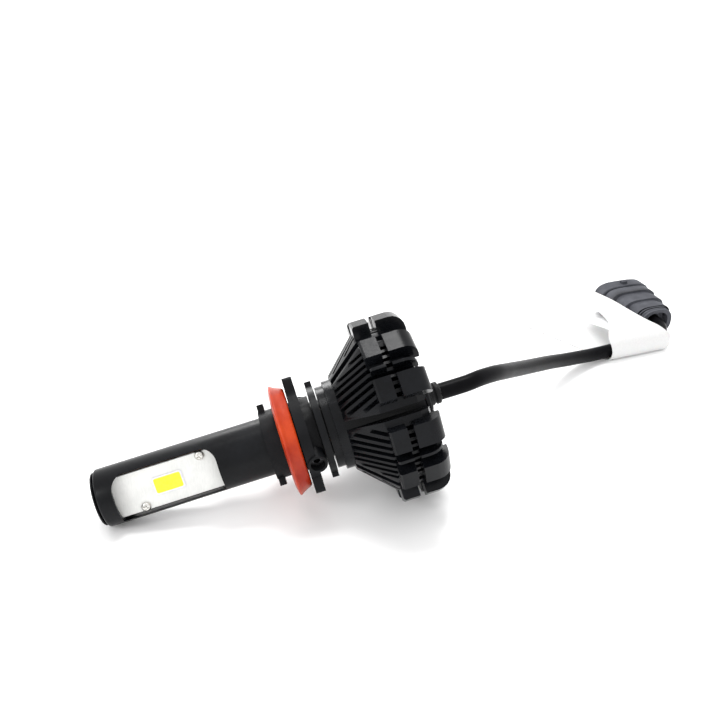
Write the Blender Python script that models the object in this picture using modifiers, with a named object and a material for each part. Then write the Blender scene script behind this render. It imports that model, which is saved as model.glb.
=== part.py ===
"""LED headlight bulb on a round bayonet base, with its lead and plug, lying on a table.

The lamp's own axis is the Z axis of the empty "lamp_axis": 0 at the tip, growing towards the heat sink.
An angle round the lamp is in degrees: 0 looks level out of the side, 90 looks up.
All sizes are in metres.
"""
import math

import bmesh
import bpy
from mathutils import Matrix, Vector
from mathutils.geometry import interpolate_bezier

MM = 0.001
GAP = 0.3 * MM          # clearance between pieces that touch

# Driving dimensions of the lamp
SLEEVE_R = 7.75 * MM    # outside of the round post
SLEEVE_WALL = 0.95 * MM
SLEEVE_END = 61.8 * MM
WINDOW_START = 5.5 * MM
WINDOW_END = 32.85 * MM
WINDOW_HALF = 6.3 * MM
WINDOW_CORNER = 3.55 * MM
BOARD_LEVEL = 3.6 * MM  # face of an LED board above the lamp's axis
BOARD_HALF = 5.5 * MM
BOARD_THICK = 0.8 * MM
BOARD_START = 4.7 * MM
BOARD_END = 33.6 * MM
SCREW_SIDE = 4.5 * MM
SCREW_STATIONS = (28.9 * MM, 11.8 * MM)
CHIP_STATION = 19.2 * MM
CHIP_LENGTH = 8.0 * MM
CHIP_WIDTH = 4.9 * MM
CORE_HALF = 2.45 * MM   # half thickness of the flat part of the thermal core
SHANK_R = 6.5 * MM
SHANK_START = 35.5 * MM
SHANK_END = 74.5 * MM
WIRE_BORE = 2.1 * MM
WIRE_R = 0.6 * MM

# Base collar
COLLAR_START = 46.2 * MM
BARREL_R = 9.26 * MM
LUG_R = 11.27 * MM
LUG_END = 48.1 * MM
SEAL_START = 50.2 * MM
SEAL_LIP = 15.0 * MM
FLANGE_START = 54.7 * MM
FLANGE_END = 57.4 * MM
FLANGE_R = 13.2 * MM
TAB_R = 15.55 * MM
HUB_R = 9.65 * MM
HUB_END = 59.8 * MM
BOSS_STATION = 57.35 * MM
BOSS_R = 2.6 * MM

# Neck and heat sink
RING_END = 61.9 * MM
RING_R = 12.07 * MM
NECK_R = 11.1 * MM
NECK_START = 62.3 * MM
NECK_STEP = 64.4 * MM
CONE_START = 66.8 * MM
CONE_R = 13.0 * MM
RIM_START = 75.8 * MM
RIM_END = 80.3 * MM
REAR_START = 82.0 * MM
SINK_END = 89.5 * MM
FIN_R = 21.6 * MM
RIM_R = 24.8 * MM
CORE_R = 12.0 * MM
SECTORS = 6
CHANNEL_HALF = 1.15 * MM
CHANNEL_PLATE = 0.8 * MM
FIN_SLOTS = ((0.45, 1.6), (2.4, 3.4), (4.3, 5.4), (6.3, 7.4), (8.3, 9.4))
BLOCK_TURN = 14.3       # degrees from a sector's middle to each of its two blocks
BLOCK_HALF = 3.05 * MM
CAVITY_R = 9.0 * MM
CAVITY_START = 78.5 * MM
COVER_START = 88.6 * MM
COVER_R = 11.4 * MM
COVER_THICK = 1.2 * MM
COVER_SCREW_R = 10.3 * MM   # distance of the cover's screws from the axis

# Angles round the lamp, in degrees
BOARD_ANGLE = 14.7
TAB_ANGLE = 124.0
BOSS_ANGLE = -4.0
SECTOR_ANGLE = 58.7     # middle of one heat sink sector

# Lead and plug
CORD_R = 2.3 * MM
GLAND_START = COVER_START + COVER_THICK + GAP
GLAND_END = 94.0 * MM
PLUG_END = Vector((0.1495, 0.0668, 0.0061))   # middle of the plug's cable end
PLUG_YAW = 6.6          # degrees from +Y towards -X
CORD_ROUTE = (
    (0.04646, 0.0000, 0.02817),
    (0.0503, 0.0000, 0.0290),
    (0.0541, 0.0000, 0.0299),
    (0.0585, 0.0017, 0.0301),
    (0.0637, 0.0054, 0.0287),
    (0.0683, 0.0101, 0.0262),
    (0.0728, 0.0152, 0.0234),
    (0.0800, 0.0232, 0.0190),
    (0.0881, 0.0316, 0.0145),
    (0.0964, 0.0394, 0.0104),
    (0.1043, 0.0456, 0.0070),
    (0.1117, 0.0504, 0.0046),
    (0.1187, 0.0537, 0.0031),
    (0.1262, 0.0556, 0.0029),
    (0.1335, 0.0562, 0.0035),
    (0.1400, 0.0566, 0.0044),
    (0.1440, 0.0577, 0.0050),
    (0.1472, 0.0602, 0.0055),
    (0.1491, 0.0637, 0.0059),
    (0.14925, 0.0690, 0.0061),
)
# Label: rows of (along the fold, out from it, height) for its left and right edge, in millimetres
LABEL_MIDDLE = Vector((0.1400, 0.0590, 0.0))
LABEL_TURN = 28.1       # degrees from +X to the fold
LABEL_THICK = 0.3 * MM
LABEL_ROWS = (
    ((-17.0, 38.0, 0.1), (2.0, 38.0, 0.1)),
    ((-16.0, 8.0, 0.1), (5.0, 4.0, 0.1)),
    ((-16.0, 3.0, 0.1), (6.0, -4.5, 0.1)),
    ((-16.2, 1.2, 1.4), (6.2, -6.6, 1.6)),
    ((-16.6, 0.4, 3.8), (6.2, -7.3, 4.4)),
    ((-17.4, 0.6, 6.8), (5.6, -6.4, 7.4)),
    ((-17.4, 2.0, 9.0), (3.9, -3.6, 9.7)),
    ((-15.0, 4.2, 10.2), (2.0, 0.8, 11.2)),
    ((-10.0, 8.0, 11.0), (1.9, 7.3, 12.2)),
    ((-5.6, 16.0, 11.4), (3.7, 16.5, 12.6)),
    ((-1.0, 24.5, 10.8), (5.6, 26.0, 12.2)),
)

# Rest pose: the lamp lies on the lower edge of its tip and on the two lowest blocks of the front rim
TIP_CHAMFER = 1.2 * MM   # front end of the sleeve
TIP_EDGE = 1.9 * MM      # where the sleeve reaches its full radius
RIM_CHAMFER = 0.5 * MM


def rim_drop():
    """Lowest point of the front rim below the lamp's axis: the near corner of the lowest blocks."""
    drops = []
    for sector in range(SECTORS):
        for side in (-1, 1):
            middle = math.radians(SECTOR_ANGLE + 60 * sector + side * BLOCK_TURN)
            for edge in (-1, 1):
                across = edge * BLOCK_HALF
                drops.append(-(RIM_R * math.sin(middle) + across * math.cos(middle)))
    return max(drops)


TILT = math.atan2(rim_drop() - SLEEVE_R, RIM_START + RIM_CHAMFER - TIP_EDGE)
TIP_X = -0.04546        # puts the origin under the middle of the lamp
TIP_Z = SLEEVE_R * math.cos(TILT) - TIP_EDGE * math.sin(TILT)


# ---------------------------------------------------------------- helpers

def clear_scene():
    for thing in list(bpy.data.objects):
        bpy.data.objects.remove(thing, do_unlink=True)


def new_collection(name):
    group = bpy.data.collections.new(name)
    bpy.context.scene.collection.children.link(group)
    return group


def material(name, colour, roughness, metallic=0.0):
    mat = bpy.data.materials.new(name)
    mat.use_nodes = True
    shader = mat.node_tree.nodes["Principled BSDF"]
    shader.inputs["Base Color"].default_value = (*colour, 1.0)
    shader.inputs["Roughness"].default_value = roughness
    shader.inputs["Metallic"].default_value = metallic
    return mat


def turn_for(angle):
    """Rotation about the lamp's axis that points a piece's own +X out at this angle round the lamp."""
    return math.radians(-90.0 - angle)


def place(name, mesh, mat, parent, angle=None):
    """Link a mesh as one named part under an empty, turned to its angle round the axis."""
    part = bpy.data.objects.new(name, mesh)
    PARTS.objects.link(part)
    part.parent = parent
    if angle is not None:
        part.rotation_euler = (0, 0, turn_for(angle))
    mesh.materials.append(mat)
    return part


def mesh_from(bm, name):
    bmesh.ops.recalc_face_normals(bm, faces=bm.faces)
    mesh = bpy.data.meshes.new(name)
    bm.to_mesh(mesh)
    bm.free()
    return mesh


def turned(name, profile, mat, parent, closed=False, steps=48):
    """A turned piece: the profile is (radius, station) pairs running down its outer side."""
    mesh = bpy.data.meshes.new(name)
    points = [(radius, 0, station) for radius, station in profile]
    edges = [(i, i + 1) for i in range(len(points) - 1)]
    if closed:
        edges.append((len(points) - 1, 0))
    mesh.from_pydata(points, edges, [])
    part = place(name, mesh, mat, parent)
    screw = part.modifiers.new("turn", "SCREW")
    screw.steps = steps
    screw.render_steps = steps
    screw.use_merge_vertices = True
    screw.merge_threshold = 0.000002
    screw.use_smooth_shade = True
    return part


def cutter(name, mesh, parent, angle=None):
    """A shape that only cuts: wire in the view and never rendered."""
    tool = bpy.data.objects.new(name, mesh)
    CUTTERS.objects.link(tool)
    tool.parent = parent
    if angle is not None:
        tool.rotation_euler = (0, 0, turn_for(angle))
    tool.hide_render = True
    tool.display_type = "WIRE"
    return tool


def combine(part, tool, operation="DIFFERENCE"):
    change = part.modifiers.new(operation.lower(), "BOOLEAN")
    change.object = tool
    change.operation = operation
    change.solver = "EXACT"


def add_box(bm, low, high, turn=0.0):
    """Add a box between two corners, turned about Z by an angle in radians."""
    size = Vector(high) - Vector(low)
    middle = (Vector(high) + Vector(low)) / 2
    matrix = Matrix.Rotation(turn, 4, "Z") @ Matrix.Translation(middle) @ Matrix.Diagonal((*size, 1))
    return bmesh.ops.create_cube(bm, size=1.0, matrix=matrix)["verts"]


def add_rod(bm, radius, low, high, axis="Z", at=(0, 0, 0), segments=20):
    """Add a cylinder along X or Z, from low to high on it, through the point at."""
    turn = {"X": Matrix.Rotation(math.pi / 2, 4, "Y"), "Z": Matrix()}[axis]
    along = {"X": Vector((1, 0, 0)), "Z": Vector((0, 0, 1))}[axis]
    matrix = Matrix.Translation(Vector(at) + along * (low + high) / 2) @ turn
    bmesh.ops.create_cone(bm, cap_ends=True, segments=segments, radius1=radius, radius2=radius,
                          depth=high - low, matrix=matrix)


def round_edges(bm, along, width, segments, keep=None):
    """Bevel the edges of a box that run along one axis: 0, 1 or 2."""
    chosen = []
    for edge in bm.edges:
        run = (edge.verts[1].co - edge.verts[0].co).normalized()
        if abs(run[along]) > 0.999 and (keep is None or keep(edge)):
            chosen.append(edge)
    bmesh.ops.bevel(bm, geom=chosen, offset=width, segments=segments, profile=0.5, affect="EDGES")


def rounded_section(half_wide, half_high, count=24, power=3.2):
    """Points of a soft-cornered rectangle, on a superellipse."""
    points = []
    for i in range(count):
        turn = 2 * math.pi * i / count
        c, s = math.cos(turn), math.sin(turn)
        points.append((half_wide * math.copysign(abs(c) ** (2 / power), c),
                       half_high * math.copysign(abs(s) ** (2 / power), s)))
    return points


def lofted(name, sections):
    """A closed solid through soft-cornered sections, each (half width, half height, station, power)."""
    bm = bmesh.new()
    rings = []
    for half_wide, half_high, station, power in sections:
        outline = rounded_section(half_wide, half_high, power=power)
        rings.append([bm.verts.new((x, y, station)) for x, y in outline])
    bm.faces.new(list(reversed(rings[0])))
    bm.faces.new(rings[-1])
    count = len(rings[0])
    for low, high in zip(rings, rings[1:]):
        for i in range(count):
            j = (i + 1) % count
            bm.faces.new((low[i], low[j], high[j], high[i]))
    return mesh_from(bm, name)


def tube(name, points, radius, mat, parent=None, resolution=2):
    """A wire or cord: a poly spline with a round section and filled caps."""
    curve = bpy.data.curves.new(name, "CURVE")
    curve.dimensions = "3D"
    curve.bevel_depth = radius
    curve.bevel_resolution = resolution
    curve.use_fill_caps = True
    spline = curve.splines.new("POLY")
    spline.points.add(len(points) - 1)
    for point, place_at in zip(spline.points, points):
        point.co = (*place_at, 1)
    curve.materials.append(mat)
    part = bpy.data.objects.new(name, curve)
    PARTS.objects.link(part)
    part.parent = parent
    return part


def smooth_route(route, spacing):
    """Points about a spacing apart on a smooth curve through the route's own points."""
    route = [Vector(p) for p in route]
    fine = []
    for i in range(len(route) - 1):
        before = route[max(i - 1, 0)]
        after = route[min(i + 2, len(route) - 1)]
        start, end = route[i], route[i + 1]
        handle_a = start + (end - before) / 6
        handle_b = end - (after - start) / 6
        fine.extend(interpolate_bezier(start, handle_a, handle_b, end, 17)[:-1])
    fine.append(route[-1])
    total = sum((b - a).length for a, b in zip(fine, fine[1:]))
    count = max(2, round(total / spacing))
    step = total / count
    points = [fine[0]]
    walked = 0.0
    for a, b in zip(fine, fine[1:]):
        length = (b - a).length
        while len(points) < count and walked + length >= step * len(points):
            points.append(a.lerp(b, (step * len(points) - walked) / length))
        walked += length
    points.append(fine[-1])
    return points


# ---------------------------------------------------------------- post and light source

def make_sleeve():
    """Black tube of the post, with a window on each face."""
    inner = SLEEVE_R - SLEEVE_WALL
    profile = [(SLEEVE_R, SLEEVE_END), (SLEEVE_R, TIP_EDGE), (SLEEVE_R - 0.25 * MM, 1.45 * MM),
               (SLEEVE_R - 0.7 * MM, TIP_CHAMFER), (inner, TIP_CHAMFER), (inner, SLEEVE_END)]
    sleeve = turned("lamp_sleeve", profile, BLACK_ANODISED, LAMP, closed=True, steps=44)
    for angle in (BOARD_ANGLE, BOARD_ANGLE + 180):
        bm = bmesh.new()
        add_box(bm, (0, -WINDOW_HALF, WINDOW_START), (0.02, WINDOW_HALF, WINDOW_END))
        round_edges(bm, 0, WINDOW_CORNER, 6, keep=lambda edge: edge.verts[0].co.y < 0)
        combine(sleeve, cutter(f"window_cut_{angle:.0f}", mesh_from(bm, "window_cut"), LAMP, angle))


def make_nose_cap():
    """Slightly domed disc that closes the post, with a short plug inside the sleeve."""
    plug_r = SLEEVE_R - SLEEVE_WALL - GAP
    edge = TIP_CHAMFER - GAP
    profile = [(0, 2.6 * MM), (plug_r, 2.6 * MM), (plug_r, edge), (6.75 * MM, edge), (7.15 * MM, 0.6 * MM),
               (7.0 * MM, 0.3 * MM), (6.5 * MM, 0.12 * MM), (4.0 * MM, 0.03 * MM), (0, 0)]
    turned("nose_cap", profile, BLACK_ANODISED, LAMP, steps=36)


def make_core():
    """Thermal core: a flat bar between the boards that becomes a round shank for the heat sink."""
    bm = bmesh.new()
    add_box(bm, (-CORE_HALF, -BOARD_HALF, 3.0 * MM), (CORE_HALF, BOARD_HALF, SHANK_START + 1 * MM))
    core = place("thermal_core", mesh_from(bm, "thermal_core"), COPPER, LAMP, BOARD_ANGLE)
    shank = bmesh.new()
    add_rod(shank, SHANK_R, SHANK_START, SHANK_END, segments=40)
    combine(core, cutter("shank", mesh_from(shank, "shank"), LAMP, BOARD_ANGLE), "UNION")
    bore = bmesh.new()
    add_rod(bore, WIRE_BORE, SHANK_START - 4 * MM, SHANK_END + 1 * MM)
    combine(core, cutter("wire_bore", mesh_from(bore, "wire_bore"), LAMP, BOARD_ANGLE))
    slot = bmesh.new()
    add_box(slot, (-0.02, -WIRE_BORE, SHANK_START - 6 * MM), (0.02, WIRE_BORE, SHANK_START - 3.5 * MM))
    combine(core, cutter("wire_slot", mesh_from(slot, "wire_slot"), LAMP, BOARD_ANGLE))
    holes = bmesh.new()
    for turn in (1, -1):
        for station, side in zip(SCREW_STATIONS, (-1, 1)):
            add_rod(holes, 0.95 * MM, -4 * MM, 4 * MM, "X", (0, side * turn * SCREW_SIDE, station), 12)
    combine(core, cutter("core_screw_holes", mesh_from(holes, "core_screw_holes"), LAMP, BOARD_ANGLE))


def make_light_face(side, angle):
    """One LED board with its chip and its two screws."""
    back = BOARD_LEVEL - BOARD_THICK
    bm = bmesh.new()
    add_box(bm, (back, -BOARD_HALF, BOARD_START), (BOARD_LEVEL, BOARD_HALF, BOARD_END))
    board = place(f"led_board_{side}", mesh_from(bm, "led_board"), BOARD_WHITE, LAMP, angle)
    holes = bmesh.new()
    for station, across in zip(SCREW_STATIONS, (-1, 1)):
        add_rod(holes, 0.95 * MM, back - 1 * MM, BOARD_LEVEL + 1 * MM, "X",
                (0, across * SCREW_SIDE, station), 16)
    combine(board, cutter(f"board_holes_{side}", mesh_from(holes, "board_holes"), LAMP, angle))

    bm = bmesh.new()
    chip_low = (BOARD_LEVEL + 0.08 * MM, -CHIP_WIDTH / 2, CHIP_STATION - CHIP_LENGTH / 2)
    chip_high = (BOARD_LEVEL + 0.5 * MM, CHIP_WIDTH / 2, CHIP_STATION + CHIP_LENGTH / 2)
    add_box(bm, chip_low, chip_high)
    round_edges(bm, 0, 0.5 * MM, 3)
    place(f"led_chip_{side}", mesh_from(bm, "led_chip"), LED_YELLOW, LAMP, angle)

    for number, (station, across) in enumerate(zip(SCREW_STATIONS, (-1, 1)), start=1):
        make_screw(f"board_screw_{side}_{number}", 1.3 * MM, 0.65 * MM, 0.65 * MM, 2.9 * MM,
                   LAMP, angle, BOARD_LEVEL + 0.1 * MM, across * SCREW_SIDE, station)


def make_screw(name, head_r, head_high, shank_r, shank_long, parent, angle, seat, side, station, along="X"):
    """Round-head screw: its axis runs out along the piece's +X, or along the lamp's axis."""
    profile = [(0, head_high), (head_r * 0.55, head_high * 0.92), (head_r * 0.85, head_high * 0.62),
               (head_r, 0), (shank_r, 0), (shank_r, -shank_long), (0, -shank_long)]
    screw = turned(name, profile, NICKEL, parent, steps=16)
    lie = Matrix.Rotation(math.pi / 2, 4, "Y") if along == "X" else Matrix()
    spot = Vector((seat, side, station)) if along == "X" else Vector((side, 0, seat))
    screw.matrix_local = Matrix.Rotation(turn_for(angle), 4, "Z") @ Matrix.Translation(spot) @ lie


# ---------------------------------------------------------------- base collar

def make_collar():
    """Bayonet base: barrel with lugs, flange with tabs, hub with two screw bosses, all one piece."""
    bore = SLEEVE_R + GAP
    profile = [(HUB_R, HUB_END), (HUB_R, FLANGE_END), (FLANGE_R, FLANGE_END), (FLANGE_R, FLANGE_START),
               (BARREL_R, FLANGE_START), (BARREL_R, COLLAR_START), (bore, COLLAR_START), (bore, HUB_END)]
    collar = turned("base_collar", profile, BLACK_PLASTIC, COLLAR, closed=True, steps=44)

    inner = BARREL_R - 0.6 * MM
    for index, angle in enumerate((TAB_ANGLE, TAB_ANGLE + 180, TAB_ANGLE + 100)):
        lug = bmesh.new()
        add_box(lug, (inner, -2.6 * MM, COLLAR_START + 0.2 * MM), (LUG_R - 0.3 * MM, 2.6 * MM, LUG_END))
        combine(collar, cutter(f"lug_{index}", mesh_from(lug, "lug"), COLLAR, angle), "UNION")
    for index, angle in enumerate((TAB_ANGLE, TAB_ANGLE + 180)):
        tab = bmesh.new()
        add_box(tab, (inner, -6.2 * MM, FLANGE_START + 0.05 * MM), (TAB_R, 6.2 * MM, FLANGE_END - 0.05 * MM))
        round_edges(tab, 2, 1.2 * MM, 3, keep=lambda edge: edge.verts[0].co.x > BARREL_R)
        combine(collar, cutter(f"tab_{index}", mesh_from(tab, "tab"), COLLAR, angle), "UNION")
    for index, angle in enumerate((BOSS_ANGLE, BOSS_ANGLE + 180)):
        boss = bmesh.new()
        add_rod(boss, BOSS_R, HUB_R - 0.8 * MM, FLANGE_R + 0.45 * MM, "X", (0, 0, BOSS_STATION), 24)
        combine(collar, cutter(f"boss_{index}", mesh_from(boss, "boss"), COLLAR, angle), "UNION")
        hole = bmesh.new()
        add_rod(hole, 1.95 * MM, 6 * MM, FLANGE_R + 2 * MM, "X", (0, 0, BOSS_STATION), 20)
        combine(collar, cutter(f"boss_hole_{index}", mesh_from(hole, "boss_hole"), COLLAR, angle))


def make_set_screws():
    """Two grub screws with a hexagon socket clamp the collar on the post."""
    for name, angle in (("set_screw_1", BOSS_ANGLE), ("set_screw_2", BOSS_ANGLE + 180)):
        bm = bmesh.new()
        add_rod(bm, 1.8 * MM, SLEEVE_R + GAP, SLEEVE_R + 4.0 * MM, "X", (0, 0, BOSS_STATION), 20)
        screw = place(name, mesh_from(bm, name), DARK_STEEL, COLLAR, angle)
        socket = bmesh.new()
        add_rod(socket, 1.0 * MM, SLEEVE_R + 2.4 * MM, SLEEVE_R + 6 * MM, "X", (0, 0, BOSS_STATION), 6)
        combine(screw, cutter(f"{name}_socket", mesh_from(socket, "socket"), COLLAR, angle))


def make_seal_ring():
    """Orange silicone ring with a sharp front lip and a sloping back."""
    inner = BARREL_R + GAP
    end = FLANGE_START - GAP
    profile = [(13.0 * MM, end), (13.5 * MM, end - 0.4 * MM), (14.3 * MM, SEAL_START + 1.6 * MM),
               (SEAL_LIP, SEAL_START + 0.85 * MM), (14.7 * MM, SEAL_START + 0.4 * MM),
               (13.2 * MM, SEAL_START), (inner, SEAL_START), (inner, end)]
    turned("seal_ring", profile, ORANGE_SILICONE, COLLAR, closed=True, steps=40)


def make_lock_ring():
    """Thin ring with two tabs between the collar and the heat sink's neck."""
    bore = SLEEVE_R + GAP
    start = HUB_END + GAP
    profile = [(RING_R, RING_END), (RING_R, start), (bore, start), (bore, RING_END)]
    ring = turned("lock_ring", profile, BLACK_ANODISED, LAMP, closed=True, steps=36)
    for index, angle in enumerate((TAB_ANGLE, TAB_ANGLE + 180)):
        tab = bmesh.new()
        add_box(tab, (RING_R - 1 * MM, -1.9 * MM, start + 0.02 * MM),
                (RING_R + 1.0 * MM, 1.9 * MM, RING_END - 0.02 * MM))
        combine(ring, cutter(f"ring_tab_{index}", mesh_from(tab, "ring_tab"), LAMP, angle), "UNION")


# ---------------------------------------------------------------- heat sink

def make_heat_sink():
    """Forged aluminium: a cone of straight fins in six sectors, with two rings of blocks round the rim."""
    cone_top = CONE_R + (RIM_START - CONE_START) * 1.0
    socket = SHANK_R + GAP
    profile = [(CAVITY_R, SINK_END - 1.3 * MM), (CORE_R, SINK_END - 1.3 * MM),
               (16 * MM, SINK_END - 1.3 * MM), (19.8 * MM, SINK_END - 2.2 * MM),
               (FIN_R, SINK_END - 4.4 * MM), (FIN_R, RIM_START),
               (cone_top - 0.6 * MM, RIM_START - 0.4 * MM), (CONE_R, CONE_START), (RING_R, CONE_START),
               (RING_R, NECK_STEP), (NECK_R, NECK_STEP), (NECK_R, NECK_START),
               (socket, NECK_START), (socket, SHANK_END + GAP), (WIRE_BORE, SHANK_END + GAP),
               (WIRE_BORE, CAVITY_START), (CAVITY_R, CAVITY_START)]
    sink = turned("heat_sink", profile, BLACK_ANODISED, LAMP, closed=True, steps=48)

    slots = bmesh.new()
    channels = bmesh.new()
    blocks = bmesh.new()
    for sector in range(SECTORS):
        turn = turn_for(SECTOR_ANGLE + 60 * sector)
        for near, far in FIN_SLOTS:
            start = max(CORE_R, CHANNEL_PLATE * 2 + CHANNEL_HALF * 2 + 1.732 * far * MM)
            for side in (-1, 1):
                low, high = sorted((side * near * MM, side * far * MM))
                add_box(slots, (start, low, CONE_START), (0.03, high, SINK_END + 1 * MM), turn)
        add_box(channels, (CORE_R, -CHANNEL_HALF, CONE_START), (0.03, CHANNEL_HALF, SINK_END + 1 * MM),
                turn + math.radians(30))
        for side in (-1, 1):
            for start, end in ((RIM_START, RIM_END), (REAR_START, SINK_END)):
                add_block(blocks, start, end, turn + math.radians(side * BLOCK_TURN), BLOCK_HALF, RIM_R)
        for start, end in ((RIM_START + 0.4 * MM, RIM_END), (REAR_START, SINK_END - 1 * MM)):
            add_block(blocks, start, end, turn, 0.42 * MM, RIM_R - 0.6 * MM)
    combine(sink, cutter("fin_slots", mesh_from(slots, "fin_slots"), LAMP))
    combine(sink, cutter("fin_channels", mesh_from(channels, "fin_channels"), LAMP))
    combine(sink, cutter("rim_blocks", mesh_from(blocks, "rim_blocks"), LAMP), "UNION")
    holes = bmesh.new()
    for side in (-1, 1):
        add_rod(holes, 0.95 * MM, SINK_END - 6 * MM, SINK_END + 1 * MM,
                at=(side * COVER_SCREW_R, 0, 0), segments=12)
    combine(sink, cutter("cover_holes", mesh_from(holes, "cover_holes"), LAMP, SECTOR_ANGLE))


def add_block(bm, start, end, turn, half, outer):
    """One block of a rim ring, with its outer rear edge rounded where the ring is the rear one."""
    block = bmesh.new()
    add_box(block, (19.6 * MM, -half, start), (outer, half, end))
    rear = end > RIM_END + 1 * MM
    width = 3.8 * MM if rear else RIM_CHAMFER
    station = end if rear else start

    def outer_edge(edge):
        return all(v.co.x > outer - 0.01 * MM and abs(v.co.z - station) < 0.01 * MM for v in edge.verts)

    round_edges(block, 1, width, 5 if rear else 1, keep=outer_edge)
    bmesh.ops.rotate(block, verts=block.verts, cent=(0, 0, 0), matrix=Matrix.Rotation(turn, 3, "Z"))
    mesh = bpy.data.meshes.new("block")
    block.to_mesh(mesh)
    block.free()
    bm.from_mesh(mesh)
    bpy.data.meshes.remove(mesh)


# ---------------------------------------------------------------- driver, rear cover and gland

def make_driver():
    """Round circuit board with a coil, a capacitor and a chip, in the heat sink's hollow."""
    bm = bmesh.new()
    add_rod(bm, CAVITY_R - 0.5 * MM, 80.4 * MM, 81.4 * MM, segments=36)
    board = place("driver_board", mesh_from(bm, "driver_board"), BOARD_GREEN, LAMP, 0)
    hole = bmesh.new()
    add_rod(hole, 1.9 * MM, 78 * MM, 84 * MM, segments=16)
    combine(board, cutter("driver_hole", mesh_from(hole, "driver_hole"), LAMP, 0))
    top = 81.4 * MM + 0.1 * MM
    turned("driver_coil", [(2.2 * MM, top + 3.4 * MM), (2.5 * MM, top + 2.9 * MM), (2.5 * MM, top),
                           (0.8 * MM, top), (0.8 * MM, top + 3.4 * MM)], COPPER, LAMP, closed=True, steps=20)
    bpy.data.objects["driver_coil"].location = (0.0, 5.2 * MM, 0)
    turned("driver_capacitor", [(0, top + 4.8 * MM), (1.8 * MM, top + 4.8 * MM), (2.0 * MM, top + 4.6 * MM),
                                (2.0 * MM, top), (0, top)], NICKEL, LAMP, steps=20)
    bpy.data.objects["driver_capacitor"].location = (0.0, -5.2 * MM, 0)
    bm = bmesh.new()
    add_box(bm, (4.0 * MM, -1.5 * MM, top), (7.0 * MM, 1.5 * MM, top + 1.0 * MM))
    place("driver_chip", mesh_from(bm, "driver_chip"), BLACK_PLASTIC, LAMP, 90)


def make_rear_cover():
    """Disc that closes the hollow, held by two screws, with a hole for the lead."""
    end = COVER_START + COVER_THICK
    profile = [(COVER_R - 0.4 * MM, end), (COVER_R, end - 0.4 * MM), (COVER_R, COVER_START),
               (1.6 * MM, COVER_START), (1.6 * MM, end)]
    cover = turned("rear_cover", profile, BLACK_ANODISED, LAMP, closed=True, steps=32)
    holes = bmesh.new()
    for side in (-1, 1):
        add_rod(holes, 0.95 * MM, COVER_START - 1 * MM, end + 1 * MM,
                at=(side * COVER_SCREW_R, 0, 0), segments=12)
    combine(cover, cutter("cover_screw_holes", mesh_from(holes, "cover_screw_holes"), LAMP, SECTOR_ANGLE))
    for number, side in enumerate((-1, 1), start=1):
        make_screw(f"cover_screw_{number}", 1.1 * MM, 0.7 * MM, 0.6 * MM, 4.4 * MM, LAMP, SECTOR_ANGLE,
                   end + 0.1 * MM, side * COVER_SCREW_R, 0, along="Z")


def make_gland():
    """Cable gland on the rear cover: a flange and a ribbed nose round the lead."""
    end = GLAND_END
    profile = [(2.7 * MM, end), (3.0 * MM, end - 0.3 * MM), (3.0 * MM, end - 1.3 * MM),
               (2.65 * MM, end - 1.4 * MM), (2.65 * MM, end - 1.9 * MM), (3.0 * MM, end - 2.0 * MM),
               (3.0 * MM, GLAND_START + 1.2 * MM), (4.2 * MM, GLAND_START + 1.0 * MM),
               (4.4 * MM, GLAND_START), (1.6 * MM, GLAND_START), (1.6 * MM, end)]
    turned("cable_gland", profile, BLACK_RUBBER, LAMP, closed=True, steps=20)


def make_inner_wires():
    """The driver's two output wires run through the core to the boards; two more come in by the gland."""
    up = 3.5 * MM
    for name, side, mat in (("lamp_wire_red", -1, WIRE_RED), ("lamp_wire_black", 1, WIRE_BLACK)):
        offset = side * 0.95 * MM
        stations = [30.2 * MM + i * up for i in range(13)] + [77.0 * MM, 79.9 * MM]
        points = [(0.0, offset, station) for station in stations]
        tube(name, points, WIRE_R, mat, LAMP)
    for name, side, mat in (("feed_wire_red", -1, WIRE_RED), ("feed_wire_black", 1, WIRE_BLACK)):
        offset = side * 0.8 * MM
        points = [(0.0, offset + side * 0.4 * MM, 82.0 * MM), (0.0, offset + side * 0.3 * MM, 84.0 * MM),
                  (0.0, offset, 87.0 * MM), (0.0, offset, 90.5 * MM), (0.0, offset, GLAND_END - 0.2 * MM)]
        tube(name, points, WIRE_R, mat, LAMP)


# ---------------------------------------------------------------- lead, label and plug

def make_cord():
    """The lead: out of the gland, down to the table and round into the plug."""
    tube("cord", smooth_route(CORD_ROUTE, 2.4 * CORD_R), CORD_R, BLACK_RUBBER, resolution=3)


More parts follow.
